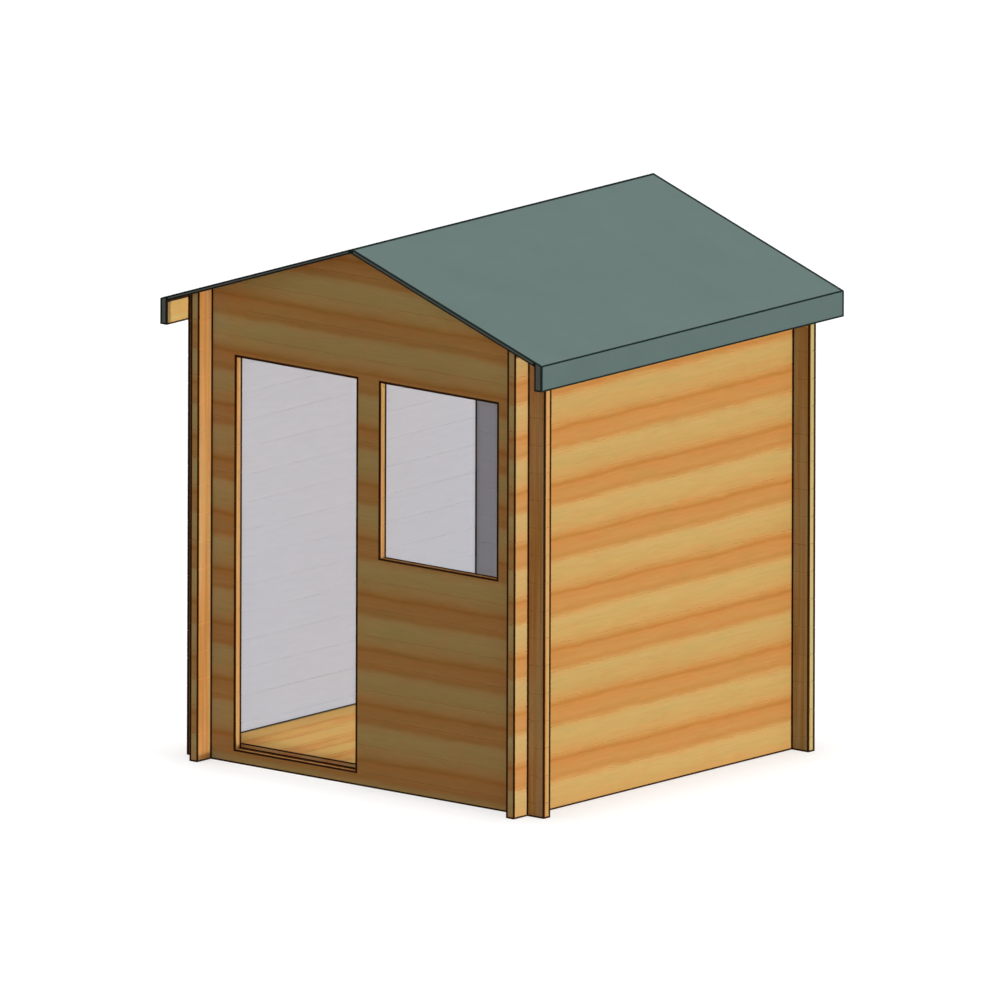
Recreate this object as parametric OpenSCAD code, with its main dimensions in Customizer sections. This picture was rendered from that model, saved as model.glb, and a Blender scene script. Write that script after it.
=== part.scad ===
// Small square log cabin: interlocking log walls, a gable front with an open doorway and
// window, a boarded floor, and a boarded roof under felt. Millimetres, +Z up, front at -Y.
// The origin is on the ground, in the middle of the plan.

/* [Walls] */
// Width over the outer faces of the side walls
cabin_w = 1800; // [1700:10:2400]
// Depth over the outer faces of the front and back walls
cabin_d = 1800; // [1200:10:3000]
// Thickness of a wall log
log_t = 44; // [34:1:60]
// Height that one log adds to a wall
log_h = 120; // [110:1:140]
// Log rows in a side wall
side_rows = 17; // [16:1:20]
// Length of log that runs on past a corner
log_end = 90; // [60:5:150]
// Chamfer along the edges of a log
log_edge = 1.5; // [0.5:0.5:4]
// Joint left between one log and the next
log_joint = 0.5; // [0.3:0.1:0.9]
// Width of the tongue along a log
tongue_w = 14; // [8:1:18]
// Height of the tongue along a log
tongue_h = 8; // [5:1:9]
// Play of the tongue in its groove, each way
tongue_play = 0.5; // [0.3:0.1:0.8]

/* [Openings] */
// Width of the doorway
door_w = 670; // [500:10:760]
// Wall between the doorway and the inner face of the left wall
door_jamb = 131; // [60:1:160]
// Log rows that the doorway cuts through, above the sill log
door_rows = 14; // [12:1:14]
// Height cut out of the head log over both openings
head_cut = 30; // [5:5:60]
// Wall between the doorway and the window
pier_w = 130; // [80:5:180]
// Width of the window
window_w = 650; // [400:10:700]
// Log rows that the window cuts through, below the head log
window_rows = 6; // [3:1:9]
// Height cut out of the log under the window
sill_cut = 15; // [10:1:50]

/* [Floor] */
// Thickness of the floor boards
floor_t = 21; // [16:1:28]
// Height of a floor bearer
bearer_h = 59; // [40:1:80]
// Width of a floor bearer
bearer_w = 44; // [34:1:70]
// Number of floor bearers
bearers = 5; // [3:1:9]
// Clearance of the floor and its bearers from the walls
floor_play = 0.5; // [0.2:0.1:0.9]

/* [Roof] */
// Slope of the roof, in degrees
roof_pitch = 18.9; // [15:0.1:26]
// Overhang of the roof past the log ends at front and back
verge_out = 16.5; // [5:0.5:120]
// Space between the log ends and the eaves boards
eaves_gap = 29; // [10:1:120]
// Thickness of an eaves board
eaves_board_t = 36; // [20:1:45]
// Height of the eaves edge, felt and boards together
eaves_edge_h = 113; // [90:1:160]
// Thickness of the roof boards
roof_board_t = 16; // [12:1:22]
// Thickness of the roofing felt
felt_t = 3; // [2:0.5:5]

/* [Purlins] */
// Width of a purlin
purlin_w = 44; // [34:1:60]
// Depth of a side purlin at its outer side
purlin_h = 79; // [60:1:110]
// Depth of the housings that take the purlins' ends
housing_d = 20; // [10:1:26]

/* [Fit] */
// Clearance between pieces that bear on each other
fit = 0.3; // [0.1:0.1:0.8]

/* [Hidden] */

past = 1; // how far a cutter runs past the face that it cuts
least_peak = 40; // lowest peak that is still a log of its own
left = -1; // side of the cabin, as a factor on x
right = 1;

lit_timber = [0.80, 0.62, 0.36];
shaded_timber = [0.52, 0.38, 0.21];
floor_timber = [0.82, 0.64, 0.38];
roof_timber = [0.84, 0.70, 0.46];
green_felt = [0.42, 0.50, 0.47];

// Plan: centre lines of the walls, their inner faces, and where the log ends stop.
wall_x = (cabin_w - log_t) / 2;
wall_y = (cabin_d - log_t) / 2;
inner_x = wall_x - log_t / 2;
inner_y = wall_y - log_t / 2;
end_x = cabin_w / 2 + log_end;
end_y = cabin_d / 2 + log_end;
front_y = -wall_y;
back_y = wall_y;

// Rows count from 0 in a side wall, which starts with a whole log. They count from 1 above
// the half log that starts a front or back wall, so the two kinds of wall interlock.
half_log = log_h / 2;
notch = log_h / 4 + fit / 2; // cut from each edge of a log where another wall crosses it
notch_w = log_t + 2 * fit;
head_row = door_rows + 1;
sill_row = door_rows - window_rows;
function side_z(row) = row * log_h;
function front_z(row) = (row - 0.5) * log_h;

// Openings in the front wall.
door_x0 = -inner_x + door_jamb;
door_x1 = door_x0 + door_w;
window_x0 = door_x1 + pier_w;
window_x1 = window_x0 + window_w;
threshold_z = half_log - log_joint;
head_z = front_z(head_row) + head_cut;
window_z = front_z(sill_row + 1) - sill_cut;

// Roof: its underside meets the centre line of each side wall at the top of the last row.
slope = tan(roof_pitch);
board_v = roof_board_t / cos(roof_pitch); // thickness measured upright
felt_v = felt_t / cos(roof_pitch);
function under_roof_z(x) = side_rows * log_h + slope * (wall_x - abs(x));
function on_boards_z(x) = under_roof_z(x) + board_v;
function on_felt_z(x) = on_boards_z(x) + felt_v;
roof_x = end_x + eaves_gap + eaves_board_t + felt_t;
roof_y = end_y + verge_out;
board_x = roof_x - felt_t; // outer edge of the roof boards and face of the eaves board
board_y = roof_y - felt_t; // ends of the roof boards and the eaves boards
eaves_x = board_x - eaves_board_t; // inner face of the eaves board
eaves_z = on_felt_z(roof_x) - eaves_edge_h;
ridge_x = fit / 2; // where each half of the roof stops short of the middle
ridge_z = under_roof_z(0);
peak_row = 1 + floor((ridge_z - least_peak - half_log) / log_h);

// Purlins as [x, z] of the middle of the underside. The side ones rest on the first gable
// log, and the ridge one rests on the log under the peak.
side_purlin_z = front_z(side_rows + 1);
side_purlin_x = wall_x - (side_purlin_z + purlin_h - side_z(side_rows)) / slope - purlin_w / 2;
ridge_seat = [0, front_z(peak_row)];
left_seat = [-side_purlin_x, side_purlin_z];
right_seat = [side_purlin_x, side_purlin_z];

// ---- Logs and the cuts in them ----

// Section of a log: x across its thickness, y up from its bottom face.
module log_section(height, groove, tongue) {
    face = log_t / 2;
    top = height - log_joint;
    tongue_x = tongue_w / 2;
    groove_x = tongue_x + tongue_play;
    groove_y = tongue_h + tongue_play;
    tongue_y = top + tongue_h;
    polygon(concat(
        [[-face + log_edge, 0]],
        groove ? [[-groove_x, 0], [-groove_x, groove_y], [groove_x, groove_y], [groove_x, 0]] : [],
        [[face - log_edge, 0], [face, log_edge], [face, top - log_edge], [face - log_edge, top]],
        tongue ? [[tongue_x, top], [tongue_x, tongue_y], [-tongue_x, tongue_y], [-tongue_x, top]] : [],
        [[-face + log_edge, top], [-face, top - log_edge], [-face, log_edge]]
    ));
}

// Log from x0 to x1 in the front or back wall, standing on z.
module log_along_x(x0, x1, y, z, height = log_h, groove = true, tongue = true)
    translate([(x0 + x1) / 2, y, z])
        rotate([90, 0, 90])
            linear_extrude(x1 - x0, center = true) log_section(height, groove, tongue);

// Log in a side wall, from front end to back end, standing on z.
module log_along_y(x, z, height = log_h, groove = true, tongue = true)
    translate([x, 0, z])
        rotate([90, 0, 0])
            linear_extrude(2 * end_y, center = true) log_section(height, groove, tongue);

// Cutters over both corners of a front or back wall, from z0 to z1.
module notches_along_x(y, z0, z1)
    for (x = [-wall_x, wall_x])
        translate([x - notch_w / 2, y - log_t, z0]) cube([notch_w, 2 * log_t, z1 - z0]);

// Cutters over both corners of a side wall, from z0 to z1.
module notches_along_y(x, z0, z1)
    for (y = [front_y, back_y])
        translate([x - log_t, y - notch_w / 2, z0]) cube([2 * log_t, notch_w, z1 - z0]);

// Sweeps a section drawn in x and z along y.
module along_roof(half_length)
    rotate([90, 0, 0]) linear_extrude(2 * half_length, center = true) children();

// Cutter for all that would stand above the underside of the roof boards.
module roof_cut()
    along_roof(roof_y) polygon([
        [0, ridge_z - fit], [roof_x, under_roof_z(roof_x) - fit], [roof_x, ridge_z + log_h],
        [-roof_x, ridge_z + log_h], [-roof_x, under_roof_z(roof_x) - fit]
    ]);

// Clear space of an opening through the front wall.
module opening(x0, x1, z0, z1)
    translate([x0, front_y - log_t, z0]) cube([x1 - x0, 2 * log_t, z1 - z0]);

module doorway() opening(door_x0, door_x1, threshold_z, head_z);

module window() opening(window_x0, window_x1, window_z, head_z);

// Section of a purlin on its seat, widened by `play`, with its top cut to the roof and
// raised by `lift` from the underside of the roof boards.
module purlin_section(seat, play, lift) {
    x0 = seat.x - purlin_w / 2 - play;
    x1 = seat.x + purlin_w / 2 + play;
    polygon(concat(
        [[x0, seat.y], [x1, seat.y], [x1, under_roof_z(x1) + lift]],
        seat.x == 0 ? [[0, ridge_z + lift]] : [],
        [[x0, under_roof_z(x0) + lift]]
    ));
}

// Purlin on its seat, with its ends in their housings.
module purlin(seat) along_roof(inner_y + housing_d - fit) purlin_section(seat, 0, -fit);

// Cutter for the housings of all the purlins, at both gables, down to the log below.
module purlin_housings()
    for (seat = [left_seat, ridge_seat, right_seat])
        along_roof(inner_y + housing_d) purlin_section(seat - [0, log_joint], fit, fit);

// ---- Rows of the walls ----

// Half log on the ground under a front or back wall.
module sill_log(y)
    difference() {
        log_along_x(-end_x, end_x, y, 0, half_log, groove = false);
        notches_along_x(y, half_log - notch, half_log + tongue_h + past);
    }

// Log of a front or back wall, or a stretch of one from x0 to x1.
module wall_log(y, row, x0 = -end_x, x1 = end_x) {
    z = front_z(row);
    peak = row == peak_row;
    difference() {
        log_along_x(x0, x1, y, z, peak ? ridge_z + past - z : log_h, tongue = !peak);
        if (row <= side_rows) notches_along_x(y, z - past, z + notch);
        if (row < side_rows) notches_along_x(y, z + log_h - notch, z + log_h + tongue_h + past);
        if (row >= side_rows - 1) roof_cut();
        if (row >= side_rows) purlin_housings();
    }
}

// Log of a side wall. The top one is deeper, to be cut to the roof, and has no tongue.
module side_log(side, row) {
    x = side * wall_x;
    z = side_z(row);
    top = row == side_rows - 1;
    height = top ? under_roof_z(inner_x) + past - z : log_h;
    difference() {
        log_along_y(x, z, height, groove = row > 0, tongue = !top);
        notches_along_y(x, z - past, z + notch);
        notches_along_y(x, z + log_h - notch, z + height + tongue_h + past);
        if (top) roof_cut();
    }
}

// ---- Floor ----

module floor_bearers() {
    half_x = inner_x - floor_play;
    first_y = -inner_y + floor_play;
    step = (2 * inner_y - 2 * floor_play - bearer_w) / (bearers - 1);
    color(floor_timber)
        for (i = [0 : bearers - 1])
            translate([-half_x, first_y + i * step, 0]) cube([2 * half_x, bearer_w, bearer_h]);
}

module floor_deck() {
    half_x = inner_x - floor_play;
    half_y = inner_y - floor_play;
    color(floor_timber)
        translate([-half_x, -half_y, bearer_h]) cube([2 * half_x, 2 * half_y, floor_t]);
}

// ---- Side walls ----

module left_wall_logs()
    color(lit_timber) for (row = [0 : side_rows - 2]) side_log(left, row);

module left_wall_top_log()
    color(lit_timber) side_log(left, side_rows - 1);

module right_wall_logs()
    color(lit_timber) for (row = [0 : side_rows - 2]) side_log(right, row);

module right_wall_top_log()
    color(lit_timber) side_log(right, side_rows - 1);

// ---- Back wall ----

module back_sill_log()
    color(shaded_timber) sill_log(back_y);

module back_wall_logs()
    color(shaded_timber) for (row = [1 : side_rows - 1]) wall_log(back_y, row);

module back_gable_logs()
    color(shaded_timber) for (row = [side_rows : peak_row - 1]) wall_log(back_y, row);

module back_gable_peak()
    color(shaded_timber) wall_log(back_y, peak_row);

// ---- Front wall ----

module front_sill_log()
    color(shaded_timber) difference() {
        sill_log(front_y);
        doorway();
    }

module front_logs_left_of_door()
    color(shaded_timber)
        for (row = [1 : door_rows]) wall_log(front_y, row, -end_x, door_x0);

module front_logs_below_window()
    color(shaded_timber)
        for (row = [1 : sill_row - 1]) wall_log(front_y, row, door_x1, end_x);

module window_sill_log()
    color(shaded_timber) difference() {
        wall_log(front_y, sill_row, door_x1, end_x);
        window();
    }

module front_logs_between_openings()
    color(shaded_timber)
        for (row = [sill_row + 1 : door_rows])
            log_along_x(door_x1, window_x0, front_y, front_z(row));

module front_logs_right_of_window()
    color(shaded_timber)
        for (row = [sill_row + 1 : door_rows]) wall_log(front_y, row, window_x1, end_x);

module front_head_log()
    color(shaded_timber) difference() {
        wall_log(front_y, head_row);
        doorway();
        window();
    }

module front_eaves_logs()
    color(shaded_timber)
        for (row = [head_row + 1 : side_rows - 1]) wall_log(front_y, row);

module front_gable_logs()
    color(shaded_timber) for (row = [side_rows : peak_row - 1]) wall_log(front_y, row);

module front_gable_peak()
    color(shaded_timber) wall_log(front_y, peak_row);

// ---- Purlins ----

module ridge_purlin() color(roof_timber) purlin(ridge_seat);

module left_purlin() color(roof_timber) purlin(left_seat);

module right_purlin() color(roof_timber) purlin(right_seat);

// ---- Roof, each half drawn on the right and mirrored for the left ----

// Boards that carry the felt, from the ridge to the eaves.
module roof_deck()
    color(roof_timber) along_roof(board_y) polygon([
        [ridge_x, under_roof_z(ridge_x)], [board_x, under_roof_z(board_x)],
        [board_x, on_boards_z(board_x)], [ridge_x, on_boards_z(ridge_x)]
    ]);

// Board on edge under the ends of the roof boards.
module eaves_board()
    color(roof_timber) along_roof(board_y) polygon([
        [eaves_x, eaves_z], [board_x, eaves_z],
        [board_x, under_roof_z(board_x) - fit], [eaves_x, under_roof_z(eaves_x) - fit]
    ]);

// Felt over the boards, down the eaves board, and folded over the front and back edges.
module roof_felt()
    color(green_felt) {
        along_roof(roof_y) polygon([
            [ridge_x, on_felt_z(ridge_x)], [roof_x, on_felt_z(roof_x)],
            [roof_x, eaves_z], [board_x, eaves_z],
            [board_x, on_boards_z(board_x)], [ridge_x, on_boards_z(ridge_x)]
        ]);
        for (end = [-1, 1])
            translate([0, end * (roof_y - felt_t / 2), 0])
                along_roof(felt_t / 2) polygon([
                    [ridge_x, on_felt_z(ridge_x)], [roof_x, on_felt_z(roof_x)],
                    [roof_x, eaves_z], [eaves_x, eaves_z],
                    [eaves_x, under_roof_z(eaves_x)], [ridge_x, under_roof_z(ridge_x)]
                ]);
    }

module left_roof_deck() mirror([1, 0, 0]) roof_deck();

module right_roof_deck() roof_deck();

module left_eaves_board() mirror([1, 0, 0]) eaves_board();

module right_eaves_board() eaves_board();

module left_roof_felt() mirror([1, 0, 0]) roof_felt();

module right_roof_felt() roof_felt();

floor_bearers();
floor_deck();
left_wall_logs();
left_wall_top_log();
right_wall_logs();
right_wall_top_log();
back_sill_log();
back_wall_logs();
back_gable_logs();
back_gable_peak();
front_sill_log();
front_logs_left_of_door();
front_logs_below_window();
window_sill_log();
front_logs_between_openings();
front_logs_right_of_window();
front_head_log();
front_eaves_logs();
front_gable_logs();
front_gable_peak();
ridge_purlin();
left_purlin();
right_purlin();
left_roof_deck();
right_roof_deck();
left_eaves_board();
right_eaves_board();
left_roof_felt();
right_roof_felt();
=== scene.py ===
import math

import bmesh
import bpy
from mathutils import Matrix, Vector


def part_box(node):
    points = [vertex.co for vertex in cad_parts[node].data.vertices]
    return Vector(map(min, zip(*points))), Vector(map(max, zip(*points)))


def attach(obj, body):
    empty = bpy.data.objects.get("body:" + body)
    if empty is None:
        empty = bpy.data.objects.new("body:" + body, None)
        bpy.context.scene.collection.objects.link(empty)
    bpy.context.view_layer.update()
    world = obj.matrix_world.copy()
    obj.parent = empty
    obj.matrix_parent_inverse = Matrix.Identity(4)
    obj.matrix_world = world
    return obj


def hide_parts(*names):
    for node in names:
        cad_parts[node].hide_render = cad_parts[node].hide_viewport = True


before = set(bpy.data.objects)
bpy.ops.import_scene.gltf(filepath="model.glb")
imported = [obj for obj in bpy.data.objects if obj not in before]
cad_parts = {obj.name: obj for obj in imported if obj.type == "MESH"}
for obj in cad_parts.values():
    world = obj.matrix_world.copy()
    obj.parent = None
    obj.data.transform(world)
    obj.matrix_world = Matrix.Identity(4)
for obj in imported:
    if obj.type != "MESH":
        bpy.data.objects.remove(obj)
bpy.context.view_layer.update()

# ---- Floor bearers ----
# Five sawn softwood bearers lie on the ground from side wall to side wall. They carry the
# floor boards and are left as sawn, with their grain along their length.


def srgb(red, green, blue):
    """A paint maker's 0 to 255 colour as the linear colour that a shader takes."""
    parts = [part / 255 for part in (red, green, blue)]
    linear = [part / 12.92 if part <= 0.04045 else ((part + 0.055) / 1.055) ** 2.4 for part in parts]
    return (*linear, 1.0)


def feed(tree, socket, value):
    """Links a socket to another node's output, or sets it to a plain value."""
    if isinstance(value, bpy.types.NodeSocket):
        tree.links.new(value, socket)
    else:
        socket.default_value = value


def maths(tree, operation, *values):
    node = tree.nodes.new("ShaderNodeMath")
    node.operation = operation
    for socket, value in zip(node.inputs, values):
        feed(tree, socket, value)
    return node.outputs["Value"]


def vector_maths(tree, operation, *values):
    node = tree.nodes.new("ShaderNodeVectorMath")
    node.operation = operation
    for socket, value in zip(node.inputs, values):
        feed(tree, socket, value)
    return node.outputs["Vector"]


def split(tree, vector):
    node = tree.nodes.new("ShaderNodeSeparateXYZ")
    feed(tree, node.inputs["Vector"], vector)
    return [node.outputs[axis] for axis in "XYZ"]


def join(tree, x, y, z):
    node = tree.nodes.new("ShaderNodeCombineXYZ")
    for axis, value in zip("XYZ", (x, y, z)):
        feed(tree, node.inputs[axis], value)
    return node.outputs["Vector"]


def noise(tree, vector, scale=1.0, detail=2.0, roughness=0.5):
    node = tree.nodes.new("ShaderNodeTexNoise")
    feed(tree, node.inputs["Vector"], vector)
    node.inputs["Scale"].default_value = scale
    node.inputs["Detail"].default_value = detail
    node.inputs["Roughness"].default_value = roughness
    return node.outputs["Fac"]


def spread(tree, value, low, high, to_low=0.0, to_high=1.0):
    """Stretches value so that low to high becomes to_low to to_high, and clamps it there."""
    node = tree.nodes.new("ShaderNodeMapRange")
    for index, number in enumerate((value, low, high, to_low, to_high)):
        feed(tree, node.inputs[index], number)
    return node.outputs["Result"]


def ramp(tree, factor, stops):
    """A colour ramp from a list of (place, colour)."""
    node = tree.nodes.new("ShaderNodeValToRGB")
    feed(tree, node.inputs["Fac"], factor)
    points = node.color_ramp.elements
    while len(points) < len(stops):
        points.new(0.5)
    for point, (place, colour) in zip(points, stops):
        point.position = place
        point.color = colour
    return node.outputs["Color"]


def shaded(tree, colour, shade):
    """A colour made darker by a shade under 1, or paler by one over 1."""
    return vector_maths(tree, "MULTIPLY", colour, join(tree, shade, shade, shade))


KINDS = {"Float": "NodeSocketFloat", "Vector": "NodeSocketVector", "Color": "NodeSocketColor"}


def new_group(name, inputs, outputs):
    """An empty node group. Inputs and outputs are lists of (socket name, kind)."""
    tree = bpy.data.node_groups.new(name, "ShaderNodeTree")
    for label, kind in inputs:
        tree.interface.new_socket(label, in_out="INPUT", socket_type=KINDS[kind])
    for label, kind in outputs:
        tree.interface.new_socket(label, in_out="OUTPUT", socket_type=KINDS[kind])
    given = tree.nodes.new("NodeGroupInput").outputs
    result = tree.nodes.new("NodeGroupOutput").inputs
    return tree, given, result


def use_group(tree, group, **values):
    """Places a group in a material and feeds its inputs. Returns its outputs."""
    node = tree.nodes.new("ShaderNodeGroup")
    node.node_tree = group
    for label, value in values.items():
        feed(tree, node.inputs[label.replace("_", " ")], value)
    return node.outputs


def new_material(name, specular):
    """A material with its node tree, its shader, and its object position and normal."""
    material = bpy.data.materials.new(name)
    material.use_nodes = True
    tree = material.node_tree
    shader = tree.nodes["Principled BSDF"]
    shader.inputs["Specular IOR Level"].default_value = specular
    place = tree.nodes.new("ShaderNodeTexCoord")
    return material, tree, shader, place.outputs["Object"], place.outputs["Normal"]


def raise_surface(tree, shader, height, distance):
    """Feeds the shader's normal from a height of 0 to 1 that stands for `distance` metres."""
    bump = tree.nodes.new("ShaderNodeBump")
    bump.inputs["Strength"].default_value = 1.0
    bump.inputs["Distance"].default_value = distance
    tree.links.new(height, bump.inputs["Height"])
    tree.links.new(bump.outputs["Normal"], shader.inputs["Normal"])


def dress(names, material):
    """Gives CAD nodes a material."""
    for name in names:
        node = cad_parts[name]
        node.data.materials.clear()
        node.data.materials.append(material)


STRIPE_WIDTH = 0.022  # of the stripes on a plain sawn face
GRAIN_STRETCH = 0.03  # marks in the wood are this share as wide as they are long
FIBRES_PER_METRE = 420.0
NOISE_RANGE = (0.3, 0.7)  # nearly all of a noise lies between these
SAWN_DEPTH = 0.0006  # of the fibres in the surface

# Plain pine: straight stripes of orange and straw along the grain, with fine fibres. The
# position is in metres, with its Z along the grain.
plain_pine, given, result = new_group(
    "plain_pine",
    [("Position", "Vector"), ("Stripe width", "Float"), ("Straw", "Float")],
    [("Color", "Color"), ("Roughness", "Float"), ("Height", "Float")],
)
stretched = vector_maths(plain_pine, "MULTIPLY", given["Position"], (1.0, 1.0, GRAIN_STRETCH))
per_stripe = maths(plain_pine, "DIVIDE", 1.0, given["Stripe width"])
stripe_place = plain_pine.nodes.new("ShaderNodeVectorMath")
stripe_place.operation = "SCALE"
feed(plain_pine, stripe_place.inputs[0], stretched)
feed(plain_pine, stripe_place.inputs["Scale"], per_stripe)
stripes = noise(plain_pine, stripe_place.outputs["Vector"], detail=2.0, roughness=0.45)
stripes = maths(plain_pine, "ADD", stripes, given["Straw"])
fibres = noise(plain_pine, stretched, scale=FIBRES_PER_METRE, detail=3.0, roughness=0.6)
striped = ramp(
    plain_pine,
    stripes,
    [
        (0.32, srgb(201, 139, 68)),
        (0.46, srgb(211, 150, 84)),
        (0.58, srgb(214, 162, 103)),
        (0.72, srgb(207, 168, 97)),
        (0.95, srgb(203, 183, 120)),
    ],
)
fibre_shade = spread(plain_pine, fibres, *NOISE_RANGE, to_low=0.94, to_high=1.04)
feed(plain_pine, result["Color"], shaded(plain_pine, striped, fibre_shade))
roughness = spread(plain_pine, fibres, *NOISE_RANGE, to_low=0.74, to_high=0.60)
feed(plain_pine, result["Roughness"], roughness)
feed(plain_pine, result["Height"], fibres)


def sawn_timber(name, along, stripe_width=STRIPE_WIDTH, straw=0.0):
    """Pine with its grain along the axis `along`, 0 to 2 for X to Z. Straw makes it paler."""
    material, tree, shader, position, _ = new_material(name, specular=0.15)
    axes = split(tree, position)
    turned = join(tree, axes[(along + 1) % 3], axes[(along + 2) % 3], axes[along])
    wood = use_group(tree, plain_pine, Position=turned, Stripe_width=stripe_width, Straw=straw)
    tree.links.new(wood["Color"], shader.inputs["Base Color"])
    tree.links.new(wood["Roughness"], shader.inputs["Roughness"])
    raise_surface(tree, shader, wood["Height"], SAWN_DEPTH)
    return material


dress(["floor_bearers"], sawn_timber("bearer_timber", along=0))

# ---- Floor boards ----
# Fifteen planed pine boards run from front to back, nailed down on the bearers. Each board
# has its long upper edges eased, so the joints show as fine lines.

BOARD_COUNT = 15
BOARD_GAP = 0.0006
BAND = 0.240  # one orange band and one straw band of the timber together
FLOOR_STREAK = -0.485  # where one orange band of the floor starts
FLOOR_WANDER = 3.0  # its bands stray more than those of the walls
FLOOR_STRAW = srgb(209, 166, 92)  # the floor is worn to straw in patches
PATCHES_PER_METRE = (14.0, 4.5, 1.0)  # across the boards, along them and up
PATCH_RANGE = (0.35, 0.65)
PATCH_STRAW = (0.10, 0.74)  # share of straw between the patches and in them
FLOOR_END_PAINTED_LIGHT = (1.28, 1.20, 1.70, 1.0)  # painted light: the cut ends at the front are paler, against the shade they stand in
FLOOR_EDGE_RADIUS = 0.0010
PLANED_DEPTH = 0.0004  # of the fibres in a planed face
HAIR = 0.001  # the play in telling whether something is at a place
SQUARELY = 0.9  # the share of a normal, or of an edge, that lies along the axis it follows



def blend(tree, factor, first, second, blend_type="MIX"):
    """Mixes two colours, from first at factor 0 to second at factor 1."""
    node = tree.nodes.new("ShaderNodeMix")
    node.data_type = "RGBA"
    node.blend_type = blend_type
    for index, value in ((0, factor), (6, first), (7, second)):
        feed(tree, node.inputs[index], value)
    return node.outputs[2]


# Banded pine: the broad bands of heartwood and sapwood on a sawn face, with a dark streak at
# the start of each orange band and ragged lower edges. Along and Across are in metres, and
# Wander is how far the bands stray from straight.
banded_pine, given, result = new_group(
    "banded_pine",
    [("Along", "Float"), ("Across", "Float"), ("Streak", "Float"), ("Wander", "Float")],
    [("Color", "Color"), ("Roughness", "Float"), ("Height", "Float")],
)


def grain_noise(along_scale, across_scale, detail, shift):
    """Noise stretched along the grain. Shift takes it from another part of the pattern."""
    along = maths(banded_pine, "MULTIPLY", given["Along"], along_scale)
    across = maths(banded_pine, "MULTIPLY", given["Across"], across_scale)
    return noise(banded_pine, join(banded_pine, along, across, shift), detail=detail)


def stray(width, pattern):
    """How far a pattern of 0 to 1 moves the bands, up to half of width each way."""
    return maths(banded_pine, "MULTIPLY_ADD", pattern, width, -width / 2)


slow_wave = stray(0.020, grain_noise(2.2, 5.0, detail=1.0, shift=3.1))
ragged = stray(0.018, grain_noise(11.0, 34.0, detail=2.0, shift=7.7))
both = maths(banded_pine, "ADD", slow_wave, ragged)
wandering = maths(banded_pine, "MULTIPLY", both, given["Wander"])
below_streak = maths(banded_pine, "SUBTRACT", given["Streak"], given["Across"])
wandered = maths(banded_pine, "ADD", below_streak, wandering)
share = maths(banded_pine, "FRACT", maths(banded_pine, "DIVIDE", wandered, BAND))
bands = ramp(
    banded_pine,
    share,
    [
        (0.00, srgb(195, 130, 61)),
        (0.05, srgb(206, 142, 74)),
        (0.22, srgb(206, 147, 80)),
        (0.31, srgb(201, 140, 72)),
        (0.35, srgb(204, 147, 80)),
        (0.40, srgb(210, 164, 96)),
        (0.50, srgb(208, 170, 103)),
        (0.66, srgb(206, 167, 98)),
        (0.80, srgb(208, 162, 94)),
        (0.90, srgb(208, 155, 87)),
        (0.96, srgb(202, 142, 73)),
        (1.00, srgb(195, 130, 61)),
    ],
)
TINGE_RANGE = (0.50, 0.72)  # a tinge shows in the crests of its pattern only
TINGE = 0.8
GREEN_TINGE = (0.93, 1.0, 0.97, 1.0)
RED_TINGE = (1.02, 0.93, 0.90, 1.0)
greener = grain_noise(6.0, 24.0, detail=2.0, shift=1.3)
redder = grain_noise(7.0, 30.0, detail=2.0, shift=4.4)
tinged = bands
for pattern, tinge in ((greener, GREEN_TINGE), (redder, RED_TINGE)):
    crests = spread(banded_pine, pattern, *TINGE_RANGE, to_high=TINGE)
    tinged = blend(banded_pine, crests, tinged, tinge, "MULTIPLY")
fibres = grain_noise(16.0, 330.0, detail=3.0, shift=5.9)
streaks = grain_noise(5.0, 95.0, detail=2.0, shift=9.4)
fibre_shade = spread(banded_pine, fibres, *NOISE_RANGE, to_low=0.96, to_high=1.03)
streak_shade = spread(banded_pine, streaks, *NOISE_RANGE, to_low=0.965, to_high=1.03)
shade = maths(banded_pine, "MULTIPLY", fibre_shade, streak_shade)
feed(banded_pine, result["Color"], shaded(banded_pine, tinged, shade))
roughness = spread(banded_pine, fibres, *NOISE_RANGE, to_low=0.70, to_high=0.58)
feed(banded_pine, result["Roughness"], roughness)
feed(banded_pine, result["Height"], fibres)

LINE_CORE = 0.8  # share of a line's width that is fully dark

# Soft line: 1 where Distance is less than Width, with a short fade at its edge.
soft_line, given, result = new_group(
    "soft_line",
    [("Distance", "Float"), ("Width", "Float")],
    [("Mask", "Float")],
)
apart = maths(soft_line, "ABSOLUTE", given["Distance"])
share = maths(soft_line, "DIVIDE", apart, given["Width"])
feed(soft_line, result["Mask"], spread(soft_line, share, LINE_CORE, 1.0, to_low=1.0, to_high=0.0))

LINE_WIDTHS = Vector((0.0065, 0.0075, 0.0085))  # of the lines at right angles to X, Y and Z
LINE_COLOUR = srgb(54, 27, 3)
EASED_EDGE_LIMITS = (0.70, 0.70, 0.75)  # an eased edge takes the lines at its foot and top only
ROUNDED_EDGE_LIMITS = (0.90, 0.90, 0.75)
NO_LEAN = Vector((0.0, 0.0, 0.0))


def draw_line(tree, distance, width):
    """Mask of a soft line where distance is 0."""
    return use_group(tree, soft_line, Distance=distance, Width=width)["Mask"]


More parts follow.
